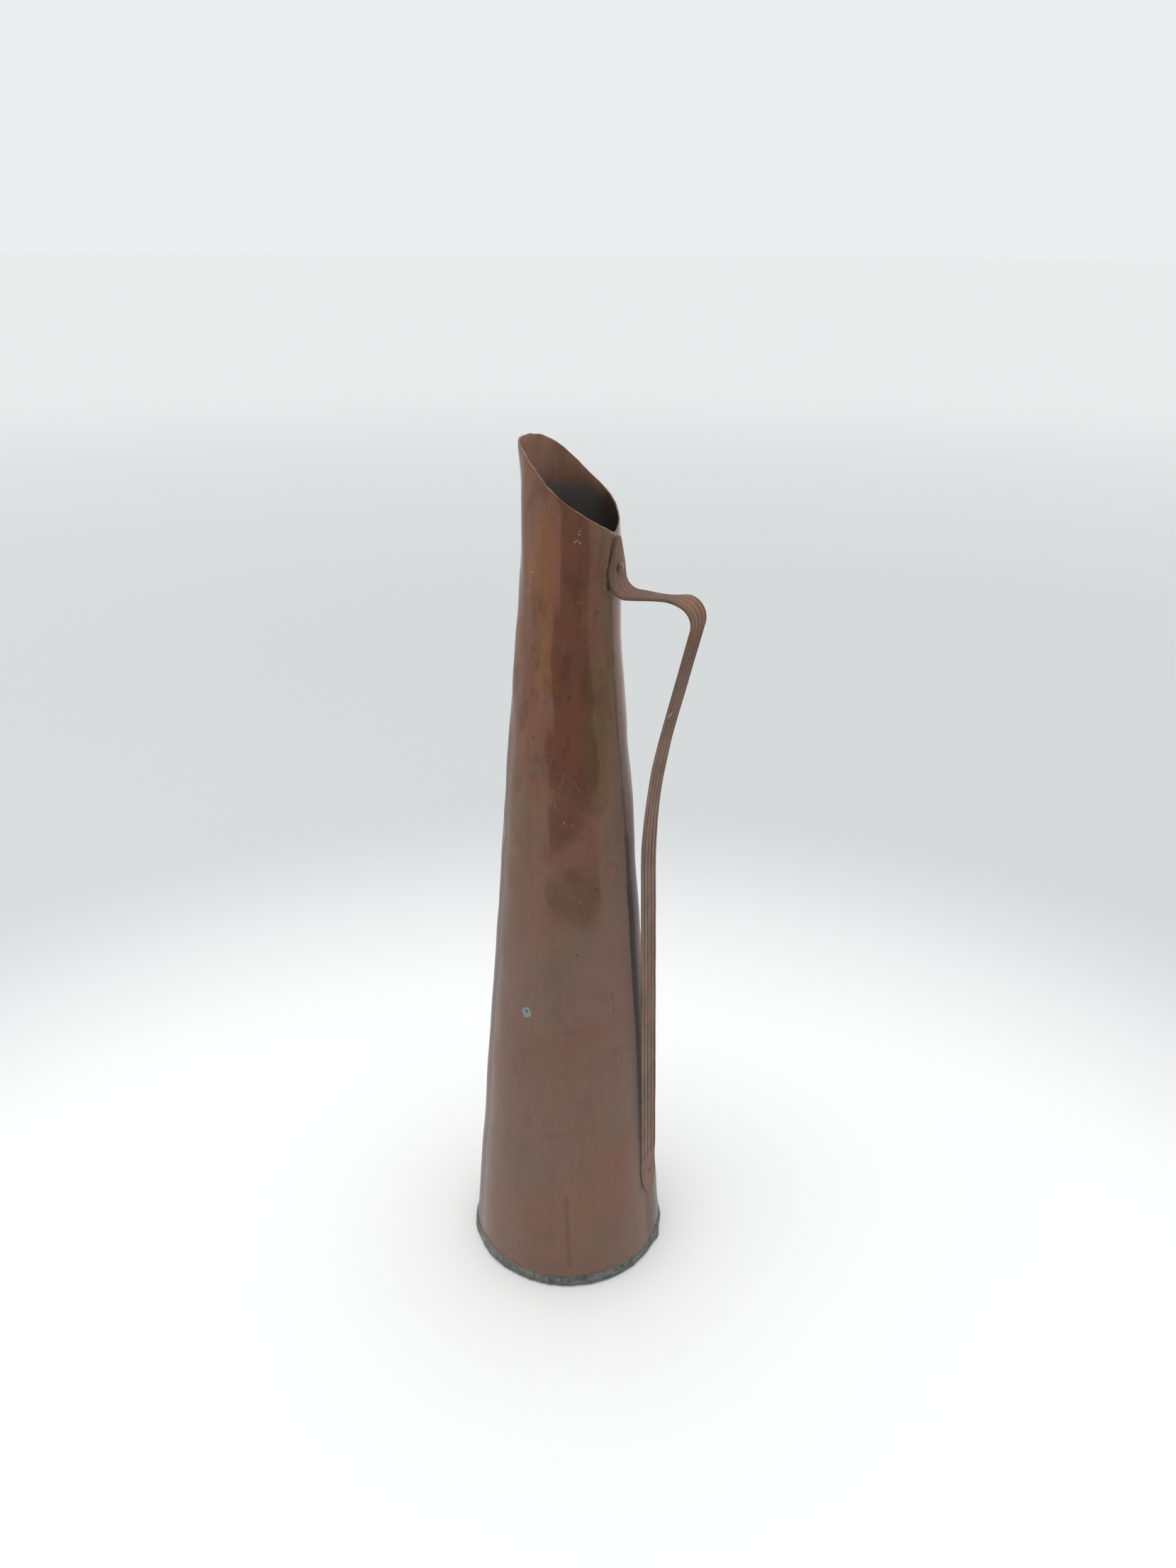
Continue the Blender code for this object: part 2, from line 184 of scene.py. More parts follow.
def hammering(angle, z):
    """How far the hand-planished wall stands off the true cone."""
    relief = waves(angle, z, 3, 40, (28 * MM, 52 * MM), 0.24 * MM, 1.2)
    relief += waves(angle, z, 5, 60, (12 * MM, 22 * MM), 0.08 * MM, 1.4)
    relief *= 0.4 + 0.6 * smooth((z - 170 * MM) / (110 * MM))
    relief += waves(angle, z, 8, 60, (5 * MM, 9 * MM), 0.009 * MM)
    for at, height, spread, depth in DENTS:
        gap = np.abs((angle - math.radians(at) + math.pi) % (2 * math.pi) - math.pi)
        across = gap * wall_radius(math.radians(at), height * MM)
        far = (across**2 + (z - height * MM) ** 2) / (spread * MM) ** 2
        relief -= depth * MM * np.exp(-far)
    under_strap = smooth(from_handle(angle) * wall_radius(angle, z) / (14 * MM) - 0.3)
    low_or_high = smooth((85 * MM - z) / (30 * MM)) + smooth((z - 345 * MM) / (25 * MM))
    keep = 1 - (1 - under_strap) * np.clip(low_or_high + 0.6, 0, 1)
    foot = smooth((z - 8 * MM) / (18 * MM))
    return relief * keep * foot


BAND_TOP = 7.1 * MM
BAND_TOP_LIMITS = (5.2 * MM, 8.6 * MM)
BAND_OVERLAP = 0.7 * MM


def band_top(angle):
    """The uneven top edge of the solder around the foot."""
    flat = 0 * angle
    top = BAND_TOP + waves(angle, flat, 31, 18, (16 * MM, 70 * MM), 0.6 * MM)
    top += waves(angle, flat, 32, 24, (4 * MM, 12 * MM), 0.4 * MM)
    return np.clip(top, *BAND_TOP_LIMITS)


def sheet_radius(angle, z):
    """The outer face of the hammered sheet, stepped in behind the solder at the foot."""
    foot = FOOT_STEP * (1 - smooth((z - band_top(angle) + BAND_OVERLAP) / FOOT_STEP_RAMP))
    return wall_radius(angle, z) + hammering(angle, z) - foot


def on_wall(angle, z):
    """The point on the body's outer face at an angle in degrees and a height in mm."""
    turn = math.radians(angle)
    radius = float(sheet_radius(np.array(turn), np.array(z * MM)))
    return Vector((radius * math.cos(turn), radius * math.sin(turn), z * MM))


# ---------------------------------------------------------------- mesh helpers

def new_piece(name, points, faces, materials, slots=None):
    mesh = bpy.data.meshes.new(name)
    mesh.from_pydata(points, [], faces)
    mesh.validate()
    for material in materials:
        mesh.materials.append(material)
    if slots is not None:
        mesh.polygons.foreach_set("material_index", slots)
    mesh.shade_smooth()
    mesh.update()
    piece = bpy.data.objects.new(name, mesh)
    bpy.context.scene.collection.objects.link(piece)
    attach(piece, "root")
    return piece


def grid_faces(rows, columns, wrap_rows, wrap_columns):
    """Quads over a grid of points stored row by row."""
    last_row = rows if wrap_rows else rows - 1
    last_column = columns if wrap_columns else columns - 1
    i, j = np.meshgrid(np.arange(last_row), np.arange(last_column), indexing="ij")
    i, j = i.ravel(), j.ravel()
    up, across = (i + 1) % rows, (j + 1) % columns
    corners = (i * columns + j, i * columns + across, up * columns + across, up * columns + j)
    return np.stack(corners, axis=1)


def turned(angle, rows):
    """The points of rings around the can's axis, one for each row of (radius, z)."""
    rings = []
    for radius, z in rows:
        rings.append(np.stack([radius * np.cos(angle), radius * np.sin(angle), z], axis=1))
    return np.concatenate(rings)


# ---------------------------------------------------------------- body sheet

BODY_COLUMNS = 400
BODY_ROWS = 250
FOOT_ROWS = 26
FOOT_SHARE = 0.02
INSIDE_ROWS = 110
RIM_ROUNDS = 5

# Nicks in the cut rim: angle in degrees, width and depth in mm.
RIM_NICKS = ((31, 1.6, 0.55), (40, 1.1, 0.4), (-118, 2.4, 0.3), (162, 2.0, 0.35))

# The lap stands this far in, and fades out above the base plate and under the rim.
LAP_STEP = 1.1 * MM
LAP_EDGE = 0.5 * MM
LAP_BOTTOM = 9 * MM
LAP_FADE_LOW = 2 * MM
LAP_FADE_HIGH = 3 * MM

OUTER_SLOT, INNER_SLOT, EDGE_SLOT = range(3)


def make_body(outside, inside, edge):
    """One closed sheet: up the outer face, over the cut rim and down the inner face."""
    angle = np.linspace(0, 2 * math.pi, BODY_COLUMNS, endpoint=False)
    rim = rim_height(angle) + waves(angle, 0 * angle, 21, 24, (6 * MM, 22 * MM), 0.09 * MM)
    for at, width, depth in RIM_NICKS:
        gap = from_handle(angle - math.radians(at)) * wall_radius(angle, rim)
        rim = rim - depth * MM * np.exp(-((gap / (width * MM)) ** 2))
    half = SHEET / 2
    top = rim - half
    rows = []
    slots = []
    low = np.linspace(0, FOOT_SHARE, FOOT_ROWS, endpoint=False)
    for s in np.concatenate([low, np.linspace(FOOT_SHARE, 1, BODY_ROWS)]):
        z = SHEET_BOTTOM + (top - SHEET_BOTTOM) * s
        rows.append((sheet_radius(angle, z), z))
        slots.append(OUTER_SLOT)
    top_radius = sheet_radius(angle, top)
    for k in range(1, RIM_ROUNDS + 1):
        turn = math.pi * k / (RIM_ROUNDS + 1)
        rows.append((top_radius - half + half * math.cos(turn), top + half * math.sin(turn)))
        slots.append(EDGE_SLOT)
    slots[-RIM_ROUNDS - 1] = EDGE_SLOT
    for s in np.linspace(1, 0, INSIDE_ROWS) ** 1.1:
        z = SHEET_BOTTOM + (top - SHEET_BOTTOM) * s
        lap = (LAP / 2 - from_handle(angle) * wall_radius(angle, z)) / LAP_EDGE
        step = LAP_STEP * smooth(lap) * smooth((z - LAP_BOTTOM) / LAP_FADE_LOW)
        step = step * smooth((top - z) / LAP_FADE_HIGH - 0.1)
        rows.append((sheet_radius(angle, z) - SHEET - step, z))
        slots.append(INNER_SLOT)
    points = turned(angle, rows)
    faces = grid_faces(len(rows), BODY_COLUMNS, True, True)
    slots = np.repeat(slots, BODY_COLUMNS)
    piece = new_piece("can_body", points, faces, (outside, inside, edge), slots)
    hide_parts("body_sheet")
    return piece


# ---------------------------------------------------------------- solder foot band

BAND_COLUMNS = 720
BAND_ROWS = 15
BAND_PROUD = 0.85 * MM
BAND_START_Z = 0.35 * MM
BAND_UNDERCUT = 0.6 * MM
BAND_INNER_RADIUS = FOOT_RADIUS - 3.9 * MM
BAND_HEEL_RADIUS = FOOT_RADIUS - 0.9 * MM
BAND_STEP_RADIUS = FOOT_RADIUS - FOOT_STEP + 0.1 * MM
BAND_STEP_Z = 1.6 * MM
BAND_INNER_Z = 1.0 * MM

# Lumps in the solder: angle in degrees, width and height in mm. The first is at the seam.
BAND_LUMPS = ((7, 4.5, 1.1), (-118, 6, 0.3), (-150, 7, 0.3), (110, 8, 0.35))


def make_foot_band(material):
    """A smeared ring of solder with an uneven top edge, thickest at the seam side."""
    angle = np.linspace(0, 2 * math.pi, BAND_COLUMNS, endpoint=False)
    flat = 0 * angle
    top = band_top(angle)
    proud = BAND_PROUD + waves(angle, flat, 33, 24, (6 * MM, 40 * MM), 0.16 * MM)
    for at, width, lump in BAND_LUMPS:
        gap = from_handle(angle - math.radians(at)) * FOOT_RADIUS
        proud += lump * MM * np.exp(-((gap / (width * MM)) ** 2))
    proud = np.maximum(proud, 0.05 * MM)
    rows = [(BAND_INNER_RADIUS + flat, flat), (BAND_HEEL_RADIUS + flat, flat)]
    for s in np.linspace(0, 1, BAND_ROWS):
        z = BAND_START_Z + (top - BAND_START_Z) * s
        swell = proud * (1 - s**2.4) + 0.04 * MM
        under = BAND_UNDERCUT * (1 - min(s * 4, 1)) ** 2
        lumps = waves(angle, z, 34, 50, (3 * MM, 8 * MM), 0.12 * MM) * (1 - s**4)
        rows.append((wall_radius(angle, z) + swell - under + lumps, z))
    rows.append((wall_radius(angle, top) - 0.45 * MM, top))
    rows.append((BAND_STEP_RADIUS + flat, BAND_STEP_Z + flat))
    rows.append((BAND_STEP_RADIUS + flat, BAND_INNER_Z + flat))
    rows.append((BAND_INNER_RADIUS + flat, BAND_INNER_Z + flat))
    faces = grid_faces(len(rows), BAND_COLUMNS, True, True)
    piece = new_piece("foot_solder", turned(angle, rows), faces, (material,))
    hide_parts("base_solder_band")
    return piece


# ---------------------------------------------------------------- strap handle

def rounded_path(corners, step):
    """Points along straight runs whose corners (u, z, radius) are turned into arcs."""
    points = []
    for k, (u, z, radius) in enumerate(corners):
        here = Vector((u, z))
        if k in (0, len(corners) - 1):
            points.append(here)
            continue
        before = (here - Vector(corners[k - 1][:2])).normalized()
        after = (Vector(corners[k + 1][:2]) - here).normalized()
        turn = before.angle_signed(after)
        reach = radius * math.tan(abs(turn) / 2)
        start = here - before * reach
        side = Vector((-before.y, before.x)) * (-1 if turn > 0 else 1)
        centre = start + side * radius
        pieces = max(8, math.ceil(radius * abs(turn) / step))
        for i in range(pieces + 1):
            swing = Matrix.Rotation(-turn * i / pieces, 2)
            points.append(centre + swing @ (start - centre))
    return np.array(points)


def strap_corners():
    """The corners of the strap's outer face: distance from the axis, height, bend radius."""
    def seat(z):
        return wall_at_handle(z) + STRAP_SEAT + STRAP

    return [
        (seat(TIP_Z), TIP_Z, 0),
        (seat(NECK_Z), NECK_Z, BEND_RADIUS),
        (*GRIP_CORNER, CORNER_RADIUS),
        (*WAIST, WAIST_RADIUS),
        (seat(TAIL_TOP_Z), TAIL_TOP_Z, TAIL_RADIUS),
        (seat(TAIL_Z), TAIL_Z, 0),
    ]


def strap_width(along, total):
    """A straight-sided pointed spade, a narrow neck, a full grip and a pointed tail."""
    tip = TIP_WIDTH + (STRAP_WIDTH - TIP_WIDTH) * np.clip(along / SPADE, 0, 1)
    narrowing = smooth((along - NECK_FROM) / (NECK_NARROW - NECK_FROM))
    widening = smooth((along - NECK_WIDENS) / (GRIP_FROM - NECK_WIDENS))
    width = tip + (NECK_WIDTH - STRAP_WIDTH) * (narrowing - widening)
    left = np.clip((total - along) / TAIL_TAPER, 0, 1)
    blunt = np.clip(along / (1.2 * MM), 0, 1)
    width = width * np.sqrt(np.maximum(1 - (1 - left) ** TAIL_POINT, 0.012))
    return width * np.sqrt(np.maximum(1 - (1 - blunt) ** 2, 0.05))


# A bright nick across the grip's near edge.
NICK_FROM = Vector((54.6, -8.0, 331.5)) * MM
NICK_TO = Vector((56.6, -1.5, 337.5)) * MM

STRAP_STEP = 0.8 * MM
STRAP_ACROSS = 48
UNDERSIDE_ACROSS = 12
# Painted shade on the strap's underside, given as a groove value so that it darkens like the flutes.
UNDERSIDE_SHADE = 0.9
UNDERSIDE_BREAK = 0.25 * MM
TAIL_STATIONS = 22
TIP_SQUEEZE = 0.12
EDGE_BREAK = 0.42 * MM
EDGE_BREAK_WIDTH = 0.8 * MM
# How much lighter the ridges are: partly rubbed wear, partly painted highlight.
RIDGE_WEAR_AND_HIGHLIGHT = 0.6


def make_strap(material):
    """A fluted strap swept along its path, with uneven edges and a slight twist."""
    path = rounded_path(strap_corners(), STRAP_STEP)
    lengths = np.concatenate([[0], np.cumsum(np.hypot(*np.diff(path, axis=0).T))])
    total = lengths[-1]
    body = np.linspace(0, total, round(total / STRAP_STEP))
    ends = TAIL_TAPER * (1 - np.cos(np.linspace(0, math.pi / 2, TAIL_STATIONS)))
    along = np.unique(np.concatenate([body, total - ends, ends * TIP_SQUEEZE]))
    u = np.interp(along, lengths, path[:, 0])
    z = np.interp(along, lengths, path[:, 1])
    ahead = np.stack([np.gradient(u, along), np.gradient(z, along)], axis=1)
    ahead /= np.linalg.norm(ahead, axis=1)[:, None]
    normal = np.stack([-ahead[:, 1], ahead[:, 0]], axis=1)
    ragged = waves(along * 0, along, 41, 30, (9 * MM, 40 * MM), 0.09 * MM)
    half = strap_width(along, total) / 2 + ragged * smooth((along - 3 * MM) / (6 * MM))
    terminal = smooth((TERMINAL_END - along) / BED_FADE)
    tail = smooth((TAIL_BED - (total - along)) / BED_FADE)
    curve = terminal / TERMINAL_CURVE + tail / TAIL_CURVE
    flute = FLUTE_DEPTH * smooth((along - FLUTES_FROM) / FLUTES_GROW) * (1 - 0.8 * tail)
    worn = 1 + waves(along * 0, along, 42, 20, (20 * MM, 70 * MM), 0.12)
    twist = waves(along * 0, along, 43, 12, (60 * MM, 160 * MM), 0.006)
    rows = []
    flute_dirt_and_underside_shade = []
    rubbed_and_lit = []
    for k in range(STRAP_ACROSS + 1):
        share = k / STRAP_ACROSS
        y = half * (2 * share - 1)
        hollow = ((1 - math.cos(2 * math.pi * FLUTES * share)) / 2) ** 0.8
        groove = flute * worn * hollow
        flute_dirt_and_underside_shade.append(hollow * flute / FLUTE_DEPTH)
        rubbed_and_lit.append(0 * along + RIDGE_WEAR_AND_HIGHLIGHT * (1 - hollow))
        edge_gap = np.minimum(share, 1 - share) * 2 * half
        edge = EDGE_BREAK * (1 - smooth(edge_gap / EDGE_BREAK_WIDTH)) ** 1.5
        rough = waves(y * 12, along, 44, 40, (4 * MM, 9 * MM), 0.012 * MM)
        drop = curve * y * y / 2 + groove + edge - rough - twist * y
        rows.append(np.stack([u - normal[:, 0] * drop, y, z - normal[:, 1] * drop], axis=1))
    for k in range(UNDERSIDE_ACROSS, -1, -1):
        share = k / UNDERSIDE_ACROSS
        y = half * (2 * share - 1)
        edge = UNDERSIDE_BREAK * (k in (0, UNDERSIDE_ACROSS))
        drop = curve * y * y / 2 + STRAP - edge - twist * y
        rows.append(np.stack([u - normal[:, 0] * drop, y, z - normal[:, 1] * drop], axis=1))
        # The underside takes painted shade.
        flute_dirt_and_underside_shade.append(0 * along + UNDERSIDE_SHADE)
        rubbed_and_lit.append(0 * along)
    stations = len(along)
    columns = len(rows)
    points = np.stack(rows, axis=1).reshape(-1, 3)
    faces = [tuple(face) for face in grid_faces(stations, columns, False, True)[:, ::-1]]
    first = list(range(columns))
    faces.append(tuple(first))
    faces.append(tuple((stations - 1) * columns + k for k in reversed(first)))
    piece = new_piece("strap_handle", points, faces, (material,))
    for name, values in (("groove", flute_dirt_and_underside_shade), ("worn", rubbed_and_lit)):
        layer = piece.data.attributes.new(name, "FLOAT", "POINT")
        layer.data.foreach_set("value", np.stack(values, axis=1).ravel())
    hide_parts("handle_strap")
    piece.visible_glossy = False
    return piece


# ---------------------------------------------------------------- rivets

RIVET_TURNS = 40
SHANK_RADIUS = 1.25 * MM
ON_STRAP = STRAP_SEAT + STRAP - 0.02 * MM
ON_SHEET = 0.05 * MM
INNER_FACE = -SHEET - 1.15 * MM

# Piece, node, height up the can, lift off the wall, radius and height of the head.
RIVETS = (
    ("rivet_upper", "upper_handle_rivet", UPPER_RIVET_Z, ON_STRAP, 2.4 * MM, 1.3 * MM),
    ("rivet_lower", "lower_handle_rivet", LOWER_RIVET_Z, ON_STRAP, 2.1 * MM, 0.6 * MM),
    ("rivet_seam", "seam_rivet", SEAM_RIVET_Z, ON_SHEET, 1.7 * MM, 0.35 * MM),
)


def make_rivet(name, node, z, lift, radius, height, material, seed):
    """A hammered head on the outer face, a shank, and a flatter head inside."""
    turns = np.linspace(0, 2 * math.pi, RIVET_TURNS, endpoint=False)
    rng = np.random.default_rng(seed)
    facets = [(rng.uniform(0, 2 * math.pi), rng.uniform(0.3, 1.0)) for _ in range(7)]
    profile = []
    for turn in np.linspace(0.02, 1, 14) * math.pi / 2:
        profile.append((radius * math.sin(turn), lift + height * math.cos(turn)))
    profile.append((radius * 0.98, lift - 0.12 * MM))
    profile.append((SHANK_RADIUS, lift - 0.2 * MM))
    profile.append((SHANK_RADIUS, INNER_FACE + 0.1 * MM))
    profile.append((radius * 0.98, INNER_FACE + 0.05 * MM))
    for turn in np.linspace(1, 0.02, 10) * math.pi / 2:
        profile.append((radius * math.sin(turn), INNER_FACE - 0.7 * height * math.cos(turn)))
    rows = []
    for r, level in profile:
        dent = np.zeros(len(turns))
        for at, reach in facets:
            across = np.cos(turns - at) * r / radius
            dent += 0.06 * height * np.exp(-(((across - reach) / 0.35) ** 2))
        wobble = r * (1 + 0.04 * np.cos(2 * turns + seed) + 0.03 * np.cos(3 * turns - seed))
        fall = dent if level > lift - 0.05 * MM else 0 * dent
        rows.append(np.stack([wobble * np.cos(turns), wobble * np.sin(turns), level - fall], axis=1))
    points = np.concatenate(rows)
    faces = [tuple(face) for face in grid_faces(len(rows), len(turns), False, True)[:, ::-1]]
    faces.append(tuple(range(len(turns))))
    last = (len(rows) - 1) * len(turns)
    faces.append(tuple(last + k for k in reversed(range(len(turns)))))
    lean = (wall_at_handle(z - MM) - wall_at_handle(z + MM)) / (2 * MM)
    outward = Vector((1, 0, lean)).normalized()
    upright = outward.to_track_quat("Z", "Y").to_matrix().to_4x4()
    placing = Matrix.Translation((wall_at_handle(z), 0, z)) @ upright
    points = [placing @ Vector(point) for point in points]
    piece = new_piece(name, points, faces, (material,))
    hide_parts(node)
    return piece


# ---------------------------------------------------------------- materials

class Shader:
    """A short way to write one material's or world's nodes."""

    def __init__(self, tree):
        self.tree = tree

    def node(self, kind, inputs=None, **settings):
        made = self.tree.nodes.new(kind)
        for key, value in settings.items():
            setattr(made, key, value)
        for key, value in (inputs or {}).items():
            self.plug(made, key, value)
        return made

    def plug(self, made, key, value):
        socket = made.inputs[key]
        if isinstance(value, bpy.types.NodeSocket):
            self.tree.links.new(value, socket)
        elif isinstance(value, tuple) and len(value) == 3 and socket.type == "RGBA":
            socket.default_value = (*value, 1.0)
        else:
            socket.default_value = value

    def math(self, operation, a, b=0.0, c=0.0):
        made = self.node("ShaderNodeMath", {0: a, 1: b, 2: c}, operation=operation)
        return made.outputs[0]

    def ramp(self, value, low, high, bottom=0.0, top=1.0):
        """A smooth step from bottom to top as value goes from low to high."""
        inputs = {"Value": value, "From Min": low, "From Max": high, "To Min": bottom, "To Max": top}
        made = self.node("ShaderNodeMapRange", inputs, interpolation_type="SMOOTHSTEP")
        return made.outputs[0]

    def mix(self, share, first, second):
        made = self.node("ShaderNodeMix", data_type="RGBA", blend_type="MIX")
        self.plug(made, 0, share)
        self.plug(made, 6, first)
        self.plug(made, 7, second)
        return made.outputs[2]

    def noise(self, place, scale, detail=3.0, rough=0.5, stretch=None, distortion=0.0):
        if stretch is not None:
            inputs = {"Vector": place, "Scale": stretch}
            place = self.node("ShaderNodeMapping", inputs, vector_type="POINT").outputs[0]
        inputs = {"Vector": place, "Scale": scale, "Detail": detail, "Roughness": rough}
        inputs["Distortion"] = distortion
        return self.node("ShaderNodeTexNoise", inputs, noise_dimensions="3D").outputs[0]

    def shift(self, place, amount, scale):
        """The place moved by up to amount metres by noise, to roughen outlines."""
        inputs = {"Vector": place, "Scale": scale, "Detail": 2.0}
        wander = self.node("ShaderNodeTexNoise", inputs, noise_dimensions="3D").outputs[1]
        inputs = {0: wander, 1: (0.5, 0.5, 0.5)}
        centred = self.node("ShaderNodeVectorMath", inputs, operation="SUBTRACT")
        scaled = self.node("ShaderNodeVectorMath", {0: centred.outputs[0]}, operation="SCALE")
        scaled.inputs["Scale"].default_value = 2 * amount
        moved = self.node("ShaderNodeVectorMath", {0: place, 1: scaled.outputs[0]}, operation="ADD")
        return moved.outputs[0]

    def near(self, place, centre, radius, soft):
        """1 inside a spot of this radius, falling to 0 over soft metres."""
        gap = self.node("ShaderNodeVectorMath", {0: place, 1: tuple(centre)}, operation="DISTANCE")
        return self.ramp(gap.outputs["Value"], radius, radius + soft, 1.0, 0.0)

    def most(self, masks):
        total = masks[0]
        for mask in masks[1:]:
            total = self.math("MAXIMUM", total, mask)
        return total

    def line(self, place, start, end, radius, soft):
        """1 along a straight scratch from start to end."""
        start, end = Vector(start), Vector(end)
        run = end - start
        inputs = {0: place, 1: tuple(start)}
        from_start = self.node("ShaderNodeVectorMath", inputs, operation="SUBTRACT")
        inputs = {0: from_start.outputs[0], 1: tuple(run / run.length_squared)}
        share = self.node("ShaderNodeVectorMath", inputs, operation="DOT_PRODUCT").outputs["Value"]
        share = self.math("MINIMUM", self.math("MAXIMUM", share, 0.0), 1.0)
        along = self.node("ShaderNodeVectorMath", {0: tuple(run)}, operation="SCALE")
        self.plug(along, "Scale", share)
        inputs = {0: from_start.outputs[0], 1: along.outputs[0]}
        gap = self.node("ShaderNodeVectorMath", inputs, operation="DISTANCE").outputs["Value"]
        return self.ramp(gap, radius, radius + soft, 1.0, 0.0)


def srgb(red, green, blue):
    """Linear colour from 8-bit display values."""
    def linear(value):
        value /= 255
        return value / 12.92 if value <= 0.04045 else ((value + 0.055) / 1.055) ** 2.4

    return (linear(red), linear(green), linear(blue))


def new_material(name):
    material = bpy.data.materials.new(name)
    material.use_nodes = True
    shader = Shader(material.node_tree)
    principled = material.node_tree.nodes["Principled BSDF"]
    place = shader.node("ShaderNodeTexCoord").outputs["Object"]
    return material, shader, principled, place


# Marks on the body's outer face: angle in degrees, height in mm, radius in mm.
PALE_SPECKS = (
    (-50.8, 417.6, 0.3), (-52.2, 416.0, 0.45), (-54.6, 413.4, 0.35), (-57.0, 412.6, 0.35),
    (-50.9, 412.6, 0.35), (-111.9, 397.0, 0.25), (-107.0, 397.4, 0.25), (-79.7, 310.8, 0.25),
    (-67.4, 279.0, 0.3), (-60.7, 278.0, 0.3), (-54.0, 236.9, 0.3), (-45, 365, 0.2),
    (150, 300, 0.4), (100, 350, 0.4), (70, 220, 0.35), (-170, 250, 0.4),
)
DARK_PITS = (
    (-31.3, 379.8, 0.5), (-62.5, 340.9, 0.5), (-127.3, 299.0, 0.5), (-98, 320, 0.4),
    (-120, 150, 0.4), (-57, 208, 0.45), (-40, 243, 0.4), (-36, 178, 0.4), (110, 260, 0.6),
    (165, 200, 0.5), (85, 130, 0.6), (135, 385, 0.5), (18, 297, 0.5), (19, 286, 0.4),
)
PALE_SCRATCHES = (
    ((-58.3, 300), (-54, 295.4)), ((-54, 295.4), (-49.5, 292)), ((-67, 304), (-70.5, 296.5)),
    ((-78.5, 292), (-72, 284)), ((-112, 425), (-107.5, 421.5)), ((-52.5, 385.9), (-45, 384.6)),
    ((-122.4, 169), (-121.4, 161)), ((60, 300), (66, 288)), ((128, 210), (120, 205)),
)
DARK_SCRATCHES = (
    ((-105.2, 319), (-103.8, 311)), ((-126, 323), (-121.5, 314)), ((-124, 319), (-119, 311.5)),
    ((-29, 183), (-27.8, 170)), ((95, 180), (98, 168)),
)
VERDIGRIS = (-95.2, 171.3, 2.5)

# Painted shade and painted reflection of the strap, as dark lines on the wall beside it: start, end,
# half width in mm and strength.
STRAP_SHADE_LINES = (
    ((-5, 412), (-11, 403), 1.0, 0.9), ((-11, 403), (-14, 391), 1.5, 0.95),
    ((-12.5, 382), (-9, 324), 0.1, 0.4), ((-9, 324), (-5, 290), 0.3, 0.45),
    ((-5, 290), (-3, 264), 0.8, 0.55), ((-3, 264), (-2, 236), 1.5, 0.8),
    ((-2, 236), (-1.6, 150), 2.4, 0.92), ((-1.6, 150), (-3, 120), 2.1, 0.92),
    ((-4, 120), (-6, 80), 1.6, 0.9), ((-6, 80), (-6.5, 48), 1.1, 0.8),
)


def spots(shader, place, marks, soft):
    return shader.most([shader.near(place, on_wall(a, z), r * MM, soft) for a, z, r in marks])


def scratches(shader, place, marks, width, soft):
    lines = [shader.line(place, on_wall(*a), on_wall(*b), width, soft) for a, b in marks]
    return shader.most(lines)


